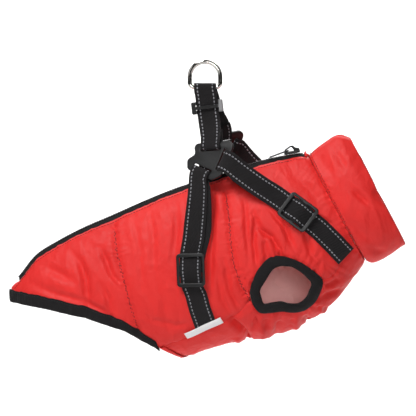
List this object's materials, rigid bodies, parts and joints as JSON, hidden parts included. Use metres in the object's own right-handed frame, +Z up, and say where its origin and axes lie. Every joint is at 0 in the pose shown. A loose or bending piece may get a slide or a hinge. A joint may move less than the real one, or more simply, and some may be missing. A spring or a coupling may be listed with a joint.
{
  "type": "dog coat with harness",
  "caption": "Hollow padded dog coat with a tall collar, zip along the back, leg holes and a webbing harness over it, hanging from its lead ring",
  "frame": {"origin": "inside top of the lead ring, where a lead or hook holds the coat up", "axes": "+X towards the neck along the coat, +Y towards the far side, +Z up; the near side is at -Y"},
  "size_m": [0.4445, 0.123, 0.3354],
  "materials": {
    "red_nylon": "smooth woven nylon with a soft sheen, lightly padded, mauve lining inside",
    "black_tape": "matt black woven tape and rib",
    "black_webbing": "matt black webbing with two rows of pale reflective stitching",
    "black_plastic": "moulded black plastic, slightly glossy edges",
    "nickel_plate": "bright nickel plated round wire",
    "white_label": "bare white woven label"
  },
  "bodies": {
    "ring": {"lead_ring": "nickel_plate"},
    "coat": {"side_panel_near": "red_nylon", "side_panel_far": "red_nylon", "belly_panel": "red_nylon", "collar": "red_nylon", "hem_binding_near": "black_tape", "hem_binding_far": "black_tape", "hem_binding_belly": "red_nylon", "leg_band_near": "black_tape", "leg_band_far": "black_tape", "zip_tape_near": "black_tape", "zip_tape_far": "black_tape", "zip_chain": "black_plastic", "zip_end_tab": "red_nylon", "zip_slider": "black_plastic", "y_connector_near": "black_plastic", "y_connector_far": "black_plastic", "rear_adjuster_near": "black_plastic", "rear_adjuster_far": "black_plastic", "front_adjuster_near": "black_plastic", "front_adjuster_far": "black_plastic", "rear_strap_near": "black_webbing", "rear_strap_far": "black_webbing", "front_strap_near": "black_webbing", "front_strap_far": "black_webbing", "top_strap": "black_webbing", "top_slide": "black_plastic", "care_label": "white_label"},
    "pull": {"zip_pull": "black_plastic"}
  },
  "joints": [
    {"name": "coat_swing", "type": "hinge", "parent": "ring", "child": "coat", "pos_m": [0, 0, -0.0253], "axis": [1, 0, 0], "range_deg": [-60, 60]},
    {"name": "pull_turn", "type": "hinge", "parent": "coat", "child": "pull", "pos_m": [0.09195, 0, -0.0952], "axis": [0, 1, 0], "range_deg": [0, 150]}
  ]
}
